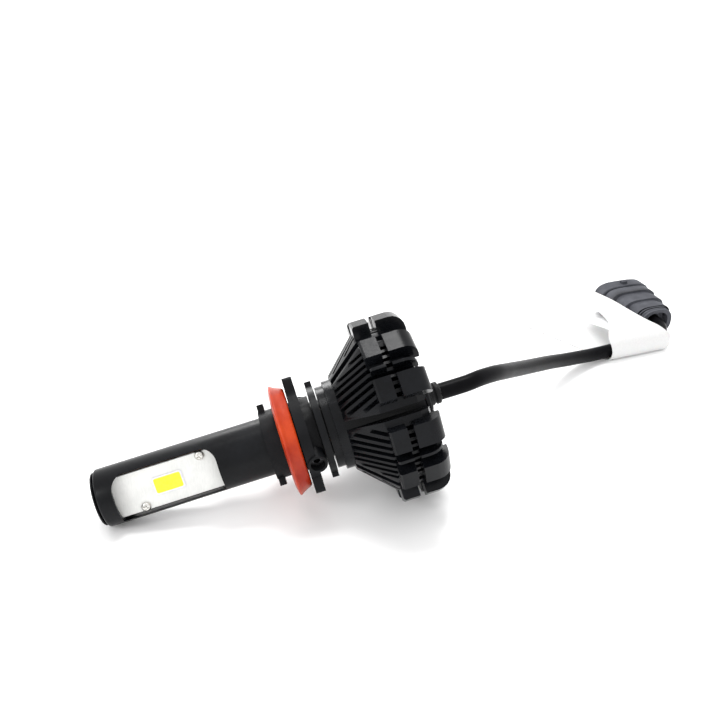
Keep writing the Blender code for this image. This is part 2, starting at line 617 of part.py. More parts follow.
def make_plug():
    """Plug: a stepped rubber boot, a shroud with two nubs, and two blades deep in its mouth."""
    tiers = ((6.3, 4.9, 0.0, 0.7), (6.5, 5.0, 1.1, 1.6), (6.8, 5.1, 2.0, 2.5), (7.3, 5.2, 2.9, 6.4),
             (8.6, 5.5, 8.8, 13.3), (9.7, 5.8, 15.6, 19.9))
    sections = []
    for index, (wide, high, start, end) in enumerate(tiers):
        power = 2.5 + 0.2 * index
        if index:
            before = tiers[index - 1]
            waist = (before[0] - 0.5) * MM, (before[1] - 0.4) * MM
            sections.append((*waist, (before[3] + 0.12) * MM, power))
            sections.append((*waist, (start - 0.12) * MM, power))
        sections.append((wide * MM, high * MM, start * MM, power))
        sections.append((wide * MM, high * MM, end * MM, power))
    boot = place("plug_boot", lofted("plug_boot", sections), PLUG_GREY, PLUG)
    hollows = bmesh.new()
    add_box(hollows, (-6.3 * MM, -4.0 * MM, 11.0 * MM), (6.3 * MM, 4.0 * MM, 22 * MM))
    add_box(hollows, (-4.6 * MM, -3.5 * MM, -1.0 * MM), (4.6 * MM, 3.5 * MM, 3.0 * MM))
    combine(boot, cutter("boot_hollows", mesh_from(hollows, "boot_hollows"), PLUG))

    shroud = [(10.1, 5.7, 20.8, 3.4), (10.4, 6.0, 21.1, 3.4), (10.4, 6.0, 25.7, 3.4), (10.1, 5.7, 26.0, 3.4)]
    shell = place("plug_shell", lofted("plug_shell", [(w * MM, h * MM, z * MM, n) for w, h, z, n in shroud]),
                  PLUG_GREY, PLUG)
    spigot = bmesh.new()
    add_box(spigot, (-6.0 * MM, -3.7 * MM, 11.4 * MM), (6.0 * MM, 3.7 * MM, 21.6 * MM))
    combine(shell, cutter("shell_spigot", mesh_from(spigot, "shell_spigot"), PLUG), "UNION")
    nubs = bmesh.new()
    add_box(nubs, (-1.1 * MM, -7.1 * MM, 21.9 * MM), (1.1 * MM, -5.4 * MM, 23.7 * MM))
    add_box(nubs, (-11.8 * MM, -1.1 * MM, 21.9 * MM), (-9.9 * MM, 1.1 * MM, 23.7 * MM))
    combine(shell, cutter("shell_nubs", mesh_from(nubs, "shell_nubs"), PLUG), "UNION")
    for name, wide, high, start, end in (("shell_mouth", 8.4, 4.3, 22.2, 28.0),
                                         ("shell_well", 4.9, 2.8, 13.8, 24.0)):
        hollow = bmesh.new()
        add_box(hollow, (-wide * MM, -high * MM, start * MM), (wide * MM, high * MM, end * MM))
        combine(shell, cutter(name, mesh_from(hollow, name), PLUG))

    for name, side in (("plug_blade_1", -1), ("plug_blade_2", 1)):
        bm = bmesh.new()
        across = side * 2.6 * MM
        add_box(bm, (across - 0.4 * MM, -1.3 * MM, 14.1 * MM), (across + 0.4 * MM, 1.3 * MM, 21.4 * MM))
        round_edges(bm, 0, 0.5 * MM, 2)
        place(name, mesh_from(bm, name), BRASS, PLUG)


def label_point(along, out, height):
    turn = Matrix.Rotation(math.radians(LABEL_TURN), 3, "Z")
    return LABEL_MIDDLE + turn @ Vector((along, out, height)) * MM


def make_label():
    """Blank white label folded round the lead: one end lies on the table, the other stands by the plug."""
    edges = [(label_point(*left), label_point(*right)) for left, right in LABEL_ROWS]
    bm = bmesh.new()
    rings = []
    for index, (left, right) in enumerate(edges):
        before = edges[max(index - 1, 0)]
        after = edges[min(index + 1, len(edges) - 1)]
        run = (after[0] + after[1]) - (before[0] + before[1])
        out = (right - left).cross(run).normalized() * LABEL_THICK
        rings.append([bm.verts.new(point) for point in (left, right, right - out, left - out)])
    bm.faces.new(rings[0])
    bm.faces.new(rings[-1])
    for low, high in zip(rings, rings[1:]):
        for i in range(4):
            j = (i + 1) % 4
            bm.faces.new((low[i], low[j], high[j], high[i]))
    place("cord_label", mesh_from(bm, "cord_label"), LABEL_WHITE, None)


def axis_empty(name, location, rotation, parent=None):
    empty = bpy.data.objects.new(name, None)
    PARTS.objects.link(empty)
    empty.parent = parent
    empty.location = location
    empty.rotation_euler = rotation
    return empty


clear_scene()
PARTS = new_collection("headlight_bulb")
CUTTERS = new_collection("cutters")

BLACK_ANODISED = material("black_anodised", (0.012, 0.013, 0.016), 0.34, 0.9)
BLACK_PLASTIC = material("black_plastic", (0.02, 0.021, 0.023), 0.5)
BLACK_RUBBER = material("black_rubber", (0.012, 0.012, 0.013), 0.45)
PLUG_GREY = material("plug_rubber", (0.03, 0.031, 0.035), 0.6)
ORANGE_SILICONE = material("orange_silicone", (0.62, 0.06, 0.014), 0.42)
BOARD_WHITE = material("board_white", (0.72, 0.72, 0.69), 0.38)
BOARD_GREEN = material("board_green", (0.02, 0.16, 0.06), 0.4)
LED_YELLOW = material("led_yellow", (0.83, 0.86, 0.04), 0.5)
NICKEL = material("nickel", (0.62, 0.6, 0.57), 0.25, 1.0)
DARK_STEEL = material("dark_steel", (0.06, 0.06, 0.06), 0.35, 1.0)
COPPER = material("copper", (0.75, 0.34, 0.18), 0.35, 1.0)
BRASS = material("tinned_brass", (0.72, 0.66, 0.5), 0.3, 1.0)
WIRE_RED = material("wire_red", (0.55, 0.02, 0.02), 0.45)
WIRE_BLACK = material("wire_black", (0.01, 0.01, 0.01), 0.45)
LABEL_WHITE = material("label_white", (0.85, 0.85, 0.84), 0.5)

LAMP = axis_empty("lamp_axis", (TIP_X, 0, TIP_Z), (0, math.pi / 2 - TILT, 0))
COLLAR = axis_empty("collar_swivel", (0, 0, 0), (0, 0, 0), LAMP)
PLUG = axis_empty("plug_axis", PLUG_END, (-math.pi / 2, 0, math.radians(PLUG_YAW)))

make_sleeve()
make_nose_cap()
make_core()
for side_name, face_angle in (("front", BOARD_ANGLE), ("back", BOARD_ANGLE + 180)):
    make_light_face(side_name, face_angle)
make_collar()
make_set_screws()
make_seal_ring()
make_lock_ring()
make_heat_sink()
make_driver()
make_rear_cover()
make_gland()
make_inner_wires()
make_cord()
make_plug()
make_label()
bpy.context.view_layer.update()
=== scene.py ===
# %% [markdown]
# # An LED headlight bulb on a pale table
#
# The bulb is a black post with a light face on each side, a round bayonet base with an orange
# seal, a finned heat sink, and a short lead that ends in a grey rubber plug with a blank label.
# A measured model of all its parts is loaded first, and every piece made here goes where that
# model says. One unit is one metre.

# %% Load the measured model
import math

import bmesh
import bpy
from mathutils import Matrix, Vector
from mathutils.geometry import interpolate_bezier


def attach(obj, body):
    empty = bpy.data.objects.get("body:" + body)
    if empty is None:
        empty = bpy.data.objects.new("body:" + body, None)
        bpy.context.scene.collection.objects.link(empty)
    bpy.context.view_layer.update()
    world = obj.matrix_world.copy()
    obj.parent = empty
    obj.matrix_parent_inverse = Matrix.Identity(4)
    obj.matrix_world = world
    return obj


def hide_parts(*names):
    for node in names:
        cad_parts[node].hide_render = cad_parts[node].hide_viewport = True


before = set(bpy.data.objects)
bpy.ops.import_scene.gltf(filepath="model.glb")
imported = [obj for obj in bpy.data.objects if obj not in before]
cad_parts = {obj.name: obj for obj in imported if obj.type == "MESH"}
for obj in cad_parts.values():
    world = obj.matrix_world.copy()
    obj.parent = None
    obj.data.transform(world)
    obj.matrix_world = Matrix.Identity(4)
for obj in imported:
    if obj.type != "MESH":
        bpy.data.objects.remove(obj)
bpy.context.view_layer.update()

MM = 0.001

# %% [markdown]
# ## The lamp's own axis
#
# The lamp lies on its tip and on the rim of its heat sink, so its axis rises towards the back.
# It is far easier to model a turned thing upright. Pieces of the lamp are made on a straight Z
# axis, with 0 at the tip, and one matrix then lays them down. An angle round the lamp is given
# in degrees: 0 looks level out of the side, 90 looks up.

# %% Lay-down matrices for the lamp and the plug
LAMP_TILT = math.radians(12.8923)
LAMP_TIP = Vector((-0.04546, 0.0, 0.007131))
LAMP = Matrix.Translation(LAMP_TIP) @ Matrix.Rotation(math.pi / 2 - LAMP_TILT, 4, "Y")

PLUG_END = Vector((0.1495, 0.0668, 0.0061))
PLUG = (Matrix.Translation(PLUG_END) @ Matrix.Rotation(math.radians(6.6), 4, "Z")
        @ Matrix.Rotation(-math.pi / 2, 4, "X"))

BOARD_TURN = 14.7
SECTOR_TURN = 58.7
BOTH_FACES = (("front", 0.0), ("back", 180.0))


def round_lamp(angle):
    """A turn about the lamp's axis that brings local +X to this angle round the lamp."""
    return Matrix.Rotation(math.radians(-90.0 - angle), 4, "Z")


print("gland face at", tuple(round(v, 5) for v in LAMP @ Vector((0, 0, 94.0 * MM))))

# %% [markdown]
# ## Camera and studio
#
# The camera comes first, because it decides which details are worth making. Small products are
# shot from close by, so the near parts look larger than the far ones. The light is that of a
# white light tent: a large soft source above, one from the left, one from behind, and a bright
# surround that shows as soft grey bands on the black parts.

# %% Camera
camera_data = bpy.data.cameras.new("camera")
camera_data.lens = 46.02
camera_data.sensor_width = 36.0
camera_data.clip_start = 0.01
camera = bpy.data.objects.new("camera", camera_data)
bpy.context.scene.collection.objects.link(camera)
CAMERA_PLACE = Vector((-0.02034, -0.20365, 0.15319))
looks = Vector((0.18909, 0.85895, -0.47588)).normalized()
right = Vector((0.97662, -0.21499, 0.0)).normalized()
upwards = right.cross(looks)
camera.matrix_world = Matrix((
    (right.x, upwards.x, -looks.x, CAMERA_PLACE.x),
    (right.y, upwards.y, -looks.y, CAMERA_PLACE.y),
    (right.z, upwards.z, -looks.z, CAMERA_PLACE.z),
    (0, 0, 0, 1),
))
bpy.context.scene.camera = camera

# %% Table, surround and lamps of the studio
scene = bpy.context.scene
scene.view_settings.view_transform = "Standard"

world = bpy.data.worlds.new("light_tent")
world.use_nodes = True
world.node_tree.nodes["Background"].inputs["Color"].default_value = (1.0, 1.0, 1.0, 1.0)
world.node_tree.nodes["Background"].inputs["Strength"].default_value = 1.2
scene.world = world

bm = bmesh.new()
bmesh.ops.create_circle(bm, cap_ends=True, radius=4.0, segments=96)
table_mesh = bpy.data.meshes.new("table")
bm.to_mesh(table_mesh)
bm.free()
table = bpy.data.objects.new("table", table_mesh)
scene.collection.objects.link(table)
table_white = bpy.data.materials.new("table_white")
table_white.use_nodes = True
table_shader = table_white.node_tree.nodes["Principled BSDF"]
table_shader.inputs["Base Color"].default_value = (0.93, 0.93, 0.93, 1.0)
table_shader.inputs["Roughness"].default_value = 0.6
table_mesh.materials.append(table_white)


def studio_lamp(name, place, aim, size, power):
    """A square soft box that looks at a point."""
    data = bpy.data.lights.new(name, "AREA")
    data.shape = "SQUARE"
    data.size = size
    data.energy = power
    lamp = bpy.data.objects.new(name, data)
    scene.collection.objects.link(lamp)
    lamp.location = place
    lamp.rotation_euler = (Vector(aim) - Vector(place)).to_track_quat("-Z", "Y").to_euler()


studio_lamp("soft_top", (0.05, 0.25, 0.80), (0.02, 0.0, 0.0), 0.32, 4.4)
studio_lamp("soft_left", (-0.60, -0.35, 0.50), (0.0, 0.0, 0.02), 0.24, 1.6)
studio_lamp("soft_back", (-0.10, 0.85, 0.42), (0.0, 0.0, 0.02), 0.28, 2.4)

# %% [markdown]
# ## The lead
#
# The lead is about 137 millimetres of black cable. It leaves the gland in line with the lamp,
# sinks to the table and turns into the plug. That turn is tighter than a springy cable would
# take. A curve with a round bevel is the natural way to make it, because its route stays editable.
# The route's own points are few, so a smooth curve through them is sampled before it becomes the lead.

# %% Route of the lead
CORD_R = 2.3 * MM
CORD_ROUTE = (
    (0.04646, 0.0000, 0.02817),
    (0.0503, 0.0000, 0.0290),
    (0.0541, 0.0000, 0.0299),
    (0.0585, 0.0017, 0.0301),
    (0.0637, 0.0054, 0.0287),
    (0.0683, 0.0101, 0.0262),
    (0.0728, 0.0152, 0.0234),
    (0.0800, 0.0232, 0.0190),
    (0.0881, 0.0316, 0.0145),
    (0.0964, 0.0394, 0.0104),
    (0.1043, 0.0456, 0.0070),
    (0.1117, 0.0504, 0.0046),
    (0.1187, 0.0537, 0.0031),
    (0.1262, 0.0556, 0.0029),
    (0.1335, 0.0562, 0.0035),
    (0.1400, 0.0566, 0.0044),
    (0.1440, 0.0577, 0.0050),
    (0.1472, 0.0602, 0.0055),
    (0.1491, 0.0637, 0.0059),
    (0.14925, 0.0690, 0.0061),
)


def smooth_through(points, parts=6):
    """Points on a smooth curve through the given ones, with so many parts for each stretch."""
    points = [Vector(p) for p in points]
    fine = []
    for i in range(len(points) - 1):
        start, end = points[i], points[i + 1]
        run_in = (end - points[max(i - 1, 0)]) / 6
        run_out = (points[min(i + 2, len(points) - 1)] - start) / 6
        fine.extend(interpolate_bezier(start, start + run_in, end - run_out, end, parts + 1)[:-1])
    fine.append(points[-1])
    return fine


cord_points = smooth_through(CORD_ROUTE)
cord_length = sum((b - a).length for a, b in zip(cord_points, cord_points[1:]))
print("lead", round(cord_length, 4), "m, in", len(cord_points), "points")

# %% The lead as a round bevelled curve
cord_curve = bpy.data.curves.new("lead", "CURVE")
cord_curve.dimensions = "3D"
cord_curve.bevel_depth = CORD_R
cord_curve.bevel_resolution = 10
cord_curve.use_fill_caps = True
spline = cord_curve.splines.new("POLY")
spline.points.add(len(cord_points) - 1)
for point, spot in zip(spline.points, cord_points):
    point.co = (*spot, 1)
    point.radius = 1.0
spline.use_smooth = True
lead = bpy.data.objects.new("lead", cord_curve)
scene.collection.objects.link(lead)

# %% [markdown]
# ## Shader helpers
#
# Materials here are small sums of noise. Writing them as node trees by hand is slow to read, so
# one class wraps a socket and turns Python's own operators into Math nodes. Everything else a
# shader needs comes from one method that adds a node of any type.

# %% A socket that understands arithmetic
class Wire:
    """One output socket inside a material; without a socket it only adds nodes."""

    def __init__(self, tree, socket):
        self.tree = tree
        self.socket = socket

    def node(self, kind, settings=(), **inputs):
        """Add a node. A socket goes by its name, or by i and its number if names repeat."""
        made = self.tree.nodes.new(kind)
        for key, value in dict(settings).items():
            setattr(made, key, value)
        for key, value in inputs.items():
            numbered = key[0] == "i" and key[1:].isdigit()
            socket = made.inputs[int(key[1:]) if numbered else key.replace("_", " ")]
            if isinstance(value, Wire):
                self.tree.links.new(value.socket, socket)
            else:
                socket.default_value = value
        return made

    def out(self, made, name=0):
        return Wire(self.tree, made.outputs[name])

    def math(self, operation, *values):
        inputs = {f"i{index}": value for index, value in enumerate(values)}
        return self.out(self.node("ShaderNodeMath", {"operation": operation}, **inputs))

    def __add__(self, other):
        return self.math("ADD", self, other)

    def __sub__(self, other):
        return self.math("SUBTRACT", self, other)

    def __rsub__(self, other):
        return self.math("SUBTRACT", other, self)

    def __mul__(self, other):
        return self.math("MULTIPLY", self, other)

    __radd__ = __add__
    __rmul__ = __mul__

    def clamp(self, low, high):
        return self.math("MINIMUM", self.math("MAXIMUM", self, low), high)

    def between(self, low, high):
        """0 below low, 1 above high, smooth in between."""
        made = self.node("ShaderNodeMapRange", {"interpolation_type": "SMOOTHSTEP"}, Value=self,
                         From_Min=low, From_Max=high)
        return self.out(made)

    def noise(self, scale, detail=3.0, roughness=0.5, vector=None):
        place = vector or self.place()
        made = self.node("ShaderNodeTexNoise", Vector=place, Scale=scale, Detail=detail, Roughness=roughness)
        return self.out(made, "Fac")

    def place(self):
        """Where a point lies in the coordinates of its own piece, in metres."""
        return self.out(self.node("ShaderNodeTexCoord"), "Object")

    def tint(self, mask, low, high):
        """A colour that goes from low to high as the mask goes from 0 to 1."""
        made = self.node("ShaderNodeMix", {"data_type": "RGBA"}, i0=mask, i6=(*low, 1.0), i7=(*high, 1.0))
        return Wire(self.tree, made.outputs[2])


class Finish:
    """A Principled material: fixed values go on its sockets, wires carry what varies."""

    def __init__(self, name, **fixed):
        self.material = bpy.data.materials.new(name)
        self.material.use_nodes = True
        tree = self.material.node_tree
        self.shader = tree.nodes["Principled BSDF"]
        self.wire = Wire(tree, None)
        self.set(**fixed)

    def set(self, **values):
        for key, value in values.items():
            socket = self.shader.inputs[key.replace("_", " ")]
            if isinstance(value, Wire):
                self.wire.tree.links.new(value.socket, socket)
            else:
                colour = socket.type == "RGBA" and len(value) == 3
                socket.default_value = (*value, 1.0) if colour else value

    def bump(self, height, depth):
        """Relief from a height of 0 to 1, with its depth in metres."""
        made = self.wire.node("ShaderNodeBump", Height=height, Distance=depth, Strength=1.0)
        self.set(Normal=self.wire.out(made))

# %% [markdown]
# ## Black anodised aluminium
#
# The post and the heat sink are aluminium that was blasted, then dyed black in a bath. The layer
# is a thin ceramic, so it shines like a hard lacquer and not like bare metal. The blasting leaves
# a fine grain, and the dye takes a little unevenly, which shows as faint darker and paler patches.

# %% Anodised finish
def anodised(name, shine, grain_depth):
    finish = Finish(name, Specular_IOR_Level=0.14)
    w = finish.wire
    patches = w.noise(90.0, 3.0)
    fine = w.noise(900.0, 2.0)
    grain = w.noise(5200.0, 2.0, 0.6)
    dark = (0.0022, 0.0024, 0.0030)
    pale = (0.0048, 0.0054, 0.0068)
    finish.set(Base_Color=w.tint((patches * 0.7 + fine * 0.3).between(0.3, 0.7), dark, pale),
               Roughness=(patches * 0.10 + fine * 0.14 + (shine - 0.12)).clamp(0.12, 0.9))
    finish.bump(grain * 0.7 + fine * 0.5, grain_depth)
    return finish.material


POST_BLACK = anodised("post_black_anodised", 0.32, 0.000010)
SINK_BLACK = anodised("heat_sink_black_anodised", 0.22, 0.000012)

# %% [markdown]
# ## Black moulded plastic, rubber and silicone
#
# The base is glass-filled nylon: satin, with a cloudy surface from the mould. The lead's jacket
# is smoother and a little greasy. The plug is a matte rubber that is clearly greyer than the
# rest. The seal is orange-red silicone, which lets some light in: it gets a little subsurface
# light, and dust that settles on it makes pale specks.

# %% Plastic, rubber and silicone finishes
def moulded(name, dark, pale, shine, grain_scale, grain_depth, reflects=0.16):
    finish = Finish(name, Specular_IOR_Level=reflects)
    w = finish.wire
    cloud = w.noise(140.0, 4.0)
    grain = w.noise(grain_scale, 3.0, 0.65)
    finish.set(Base_Color=w.tint(cloud.between(0.3, 0.72), dark, pale),
               Roughness=(cloud * 0.16 + grain * 0.12 + (shine - 0.14)).clamp(0.15, 0.95))
    finish.bump(grain, grain_depth)
    return finish.material


BASE_NYLON = moulded("base_nylon", (0.0040, 0.0042, 0.0050), (0.0085, 0.0088, 0.0100),
                     0.42, 2600.0, 0.000022, 0.10)
LEAD_JACKET = moulded("lead_jacket", (0.0030, 0.0030, 0.0036), (0.0065, 0.0065, 0.0076),
                      0.34, 1500.0, 0.000020, 0.045)
GLAND_RUBBER = moulded("gland_rubber", (0.0050, 0.0050, 0.0056), (0.0100, 0.0100, 0.0110),
                       0.48, 1800.0, 0.000025)
PLUG_RUBBER = moulded("plug_rubber", (0.0450, 0.0470, 0.0560), (0.0820, 0.0850, 0.0980),
                      0.60, 2200.0, 0.000030)

silicone = Finish("seal_silicone", Subsurface_Weight=0.06, Subsurface_Scale=0.0012,
                  Subsurface_Radius=(1.0, 0.25, 0.1), Specular_IOR_Level=0.25)
w = silicone.wire
cloud = w.noise(120.0, 4.0)
specks = w.noise(1900.0, 2.0).between(0.66, 0.74)
silicone.set(Base_Color=w.tint(cloud.between(0.3, 0.7) * 0.8 + specks * 0.2,
                               (0.30, 0.015, 0.003), (0.54, 0.056, 0.009)),
             Roughness=(cloud * 0.2 + 0.22).clamp(0.2, 0.8))
silicone.bump(w.noise(1400.0, 3.0), 0.000020)
SEAL_SILICONE = silicone.material

# %% [markdown]
# ## The light face: white board, yellow phosphor, nickel screws
#
# Each side of the post has an aluminium board under a white lacquer. Light from the studio makes
# it almost white, with a faint brushed grain that runs along the board. The chip's phosphor is a
# soft, very saturated yellow gel inside a pale rim, with a faint painted glow that keeps it bright.

# %% Board, phosphor and metal finishes
board = Finish("board_white_lacquer", Specular_IOR_Level=0.5)
w = board.wire
stretched = w.out(w.node("ShaderNodeMapping", Vector=w.place(),
                         Rotation=(0.0, -math.pi / 2 + LAMP_TILT, 0.0), Scale=(1.0, 1.0, 0.06)))
brushed = w.noise(2600.0, 3.0, 0.6, stretched)
mottle = w.noise(260.0, 4.0)
board.set(Base_Color=w.tint((brushed * 0.5 + mottle * 0.5).between(0.35, 0.65),
                            (0.660, 0.664, 0.645), (0.735, 0.735, 0.715)),
          Roughness=(brushed * 0.2 + 0.30).clamp(0.2, 0.8))
board.bump(brushed * 0.6 + mottle * 0.4, 0.000012)
BOARD_WHITE = board.material

phosphor = Finish("phosphor_yellow", Subsurface_Weight=0.1, Subsurface_Scale=0.0006)
w = phosphor.wire
# The emission is painted light: a faint glow that keeps the phosphor bright.
phosphor.set(Base_Color=w.tint(w.noise(1500.0, 3.0).between(0.3, 0.7),
                               (0.80, 0.86, 0.012), (0.88, 0.92, 0.035)),
             Roughness=0.42, Emission_Color=(0.85, 0.95, 0.03), Emission_Strength=0.12)
phosphor.bump(w.noise(2600.0, 2.0), 0.000012)
PHOSPHOR = phosphor.material

rim = Finish("chip_rim", Roughness=0.4)
w = rim.wire
rim.set(Base_Color=w.tint(w.noise(900.0).between(0.3, 0.7), (0.66, 0.64, 0.74), (0.78, 0.77, 0.84)))
CHIP_RIM = rim.material


def metal(name, dark, pale, shine, scratch_depth):
    finish = Finish(name, Metallic=1.0)
    w = finish.wire
    smear = w.noise(700.0, 4.0)
    finish.set(Base_Color=w.tint(smear.between(0.3, 0.7), dark, pale),
               Roughness=(smear * 0.24 + (shine - 0.12)).clamp(0.08, 0.9))
    finish.bump(w.noise(4200.0, 3.0, 0.7), scratch_depth)
    return finish.material


NICKEL = metal("nickel", (0.50, 0.49, 0.46), (0.70, 0.69, 0.66), 0.26, 0.000008)
BLACK_STEEL = metal("black_steel", (0.045, 0.045, 0.048), (0.085, 0.085, 0.09), 0.36, 0.000012)
COPPER = metal("copper", (0.16, 0.085, 0.055), (0.26, 0.14, 0.09), 0.48, 0.000010)
BLADE_METAL = metal("tinned_brass", (0.60, 0.55, 0.42), (0.76, 0.71, 0.58), 0.24, 0.000010)

# %% Label paper and the finishes of the pieces inside
paper = Finish("label_paper", Subsurface_Weight=0.05, Subsurface_Scale=0.001)
w = paper.wire
fibres = w.noise(1800.0, 5.0, 0.7)
paper.set(Base_Color=w.tint(fibres.between(0.25, 0.75), (0.60, 0.60, 0.60), (0.66, 0.66, 0.655)),
          Roughness=(fibres * 0.2 + 0.38).clamp(0.2, 0.8))
paper.bump(fibres, 0.000015)
LABEL_PAPER = paper.material

CIRCUIT_GREEN = moulded("circuit_green", (0.012, 0.100, 0.035), (0.020, 0.160, 0.060), 0.40, 900.0, 0.000020)
CHIP_BLACK = moulded("chip_black", (0.012, 0.012, 0.013), (0.022, 0.022, 0.023), 0.50, 2400.0, 0.000020)
WIRE_RED = moulded("wire_red", (0.45, 0.015, 0.015), (0.60, 0.030, 0.025), 0.38, 1200.0, 0.000010)
WIRE_BLACK = moulded("wire_black", (0.010, 0.010, 0.010), (0.018, 0.018, 0.018), 0.38, 1200.0, 0.000010)
print(len(bpy.data.materials), "materials")

# %% [markdown]
# ## Making and placing pieces
#
# Most new shapes of the lamp start as a bmesh on its straight axis: a turned profile, or a bar
# whose edges can be rounded. A softened copy of a measured part is the other way in: its loose
# triangles are merged, flat areas are joined again, and every sharp edge is bevelled, so that
# the edges catch the light as real ones do.

# %% Turned profiles and bars
SHARP_ANGLE = 32.0


def spun(profile, steps=128, closed=True):
    """A turned bmesh from (radius, station) pairs in millimetres."""
    bm = bmesh.new()
    points = [bm.verts.new((radius * MM, 0, station * MM)) for radius, station in profile]
    edges = [bm.edges.new(pair) for pair in zip(points, points[1:])]
    if closed:
        edges.append(bm.edges.new((points[-1], points[0])))
    bmesh.ops.spin(bm, geom=points + edges, cent=(0, 0, 0), axis=(0, 0, 1), angle=2 * math.pi,
                   steps=steps, use_merge=True)
    bmesh.ops.remove_doubles(bm, verts=bm.verts, dist=0.001 * MM)
    bmesh.ops.recalc_face_normals(bm, faces=bm.faces)
    return bm


def bar(low, high, along=0, radius=0.0, segments=4, low_side=False):
    """A bar between two corners in millimetres.

    Its edges along one axis can be rounded, all four of them or only the two at low Y.
    """
    size = (Vector(high) - Vector(low)) * MM
    middle = (Vector(high) + Vector(low)) * MM / 2
    bm = bmesh.new()
    bmesh.ops.create_cube(bm, size=1.0, matrix=Matrix.Translation(middle) @ Matrix.Diagonal((*size, 1)))
    if radius:
        edges = [e for e in bm.edges
                 if abs((e.verts[1].co - e.verts[0].co).normalized()[along]) > 0.999
                 and not (low_side and e.verts[0].co.y > middle.y)]
        bmesh.ops.bevel(bm, geom=edges, offset=radius * MM, segments=segments, profile=0.5,
                        affect="EDGES", material=-1)
    return bm

# %% Handing a piece over
def finished(name, bm, finish, body, lay=None, stands_for=(), sharp=SHARP_ANGLE):
    """Lay a bmesh down in its place and hand it over as one piece of the object."""
    if lay is not None:
        bmesh.ops.transform(bm, matrix=lay, verts=bm.verts)
    mesh = bpy.data.meshes.new(name)
    bm.to_mesh(mesh)
    bm.free()
    mesh.shade_smooth()
    mesh.set_sharp_from_angle(angle=math.radians(sharp))
    mesh.materials.append(finish)
    piece = bpy.data.objects.new(name, mesh)
    scene.collection.objects.link(piece)
    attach(piece, body)
    if stands_for:
        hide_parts(*stands_for)
    return piece


def round_edges(piece, width, segments=2, angle=25.0):
    """Bevel every edge that turns by more than the angle; the width is in millimetres."""
    bevel = piece.modifiers.new("edges", "BEVEL")
    bevel.width = width * MM
    bevel.segments = segments
    bevel.limit_method = "ANGLE"
    bevel.angle_limit = math.radians(angle)
    bevel.harden_normals = True


def softened(name, node, finish, body, width):
    """A copy of a measured part with its flats joined again and its edges rounded."""
    bm = bmesh.new()
    bm.from_mesh(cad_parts[node].data)
    bmesh.ops.transform(bm, matrix=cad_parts[node].matrix_world, verts=bm.verts)
    bmesh.ops.remove_doubles(bm, verts=bm.verts, dist=0.002 * MM)
    bmesh.ops.dissolve_limit(bm, angle_limit=math.radians(1.0), verts=bm.verts, edges=bm.edges)
    bmesh.ops.recalc_face_normals(bm, faces=bm.faces)
    for face in bm.faces:
        face.material_index = 0
    piece = finished(name, bm, finish, body, stands_for=(node,))
    round_edges(piece, width)
    return piece


def carve(piece, bm, lay, operation="DIFFERENCE"):
    """Cut a shape out of a piece, or join it on, and keep the result as the piece's mesh."""
    bmesh.ops.transform(bm, matrix=lay, verts=bm.verts)
    bmesh.ops.recalc_face_normals(bm, faces=bm.faces)
    tool_mesh = bpy.data.meshes.new("tool")
    bm.to_mesh(tool_mesh)
    bm.free()
    tool = bpy.data.objects.new("tool", tool_mesh)
    scene.collection.objects.link(tool)
    change = piece.modifiers.new("carve", "BOOLEAN")
    change.object = tool
    change.operation = operation
    change.solver = "EXACT"
    bpy.context.view_layer.update()
    seen = piece.evaluated_get(bpy.context.evaluated_depsgraph_get())
    result = bpy.data.meshes.new_from_object(seen)
    piece.modifiers.remove(change)
    old = piece.data
    piece.data = result
    piece.data.name = piece.name
    bpy.data.objects.remove(tool)
    bpy.data.meshes.remove(old)
    bpy.data.meshes.remove(tool_mesh)
    piece.data.set_sharp_from_angle(angle=math.radians(SHARP_ANGLE))


def keep(finish, *nodes):
    """Keep measured parts as they are, with a better finish."""
    for node in nodes:
        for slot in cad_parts[node].material_slots:
            slot.material = finish


bpy.context.view_layer.update()

# %% [markdown]
# ## The post
#
# The post is a tube with a window milled into each side. A turned profile with many steps gives a
# clean round outline. The tube runs half a millimetre further back than the measured one, so that
# no gap shows under the neck of the heat sink. Each window is cut by a bar that is rounded along
# one long side only: the upper side of the near window, and the lower side of the far one. Its rim
# gets a narrow bevel, because a milled edge is always broken. The cap in the tip is a thin domed
# disc with a fine seam near its edge.

# %% Sleeve with its windows
POST_R, BORE_R = 7.75, 6.8
POST_FRONT, POST_BACK = 1.2, 62.26
WINDOW_LOW, WINDOW_HIGH = (0, -6.3, 5.5), (20, 6.3, 32.85)
WINDOW_CORNER = 3.55

sleeve = finished("post_sleeve", spun([
    (POST_R, POST_BACK), (POST_R, 1.95), (7.70, 1.66), (7.52, 1.42), (7.28, 1.28), (7.0, POST_FRONT),
    (BORE_R, POST_FRONT), (BORE_R, POST_BACK)], 160),
    POST_BLACK, "lamp", LAMP, ("lamp_sleeve",))
for _, turn in BOTH_FACES:
    carve(sleeve, bar(WINDOW_LOW, WINDOW_HIGH, 0, WINDOW_CORNER, 12, low_side=True),
          LAMP @ round_lamp(BOARD_TURN + turn))
round_edges(sleeve, 0.16, 2, 40.0)
print("sleeve", len(sleeve.data.polygons), "faces")

# %% Nose cap
finished("post_nose_cap", spun([
    (0, 2.6), (6.45, 2.6), (6.45, 0.95), (6.7, 0.92), (7.0, 0.84), (7.12, 0.66), (7.08, 0.5), (6.9, 0.36),
    (6.55, 0.28), (6.42, 0.34), (6.3, 0.26), (5.6, 0.16), (4.0, 0.07), (2.0, 0.02), (0, 0.0)],
    128, closed=False), POST_BLACK, "lamp", LAMP, ("nose_cap",), 50.0)

# %% [markdown]
# ## The light faces
#
# The boards are softened copies. A chip is two pieces: a pale rim, and the yellow phosphor that
# stands a hair proud of it. The screws are turned, and then a cross is cut into each head.

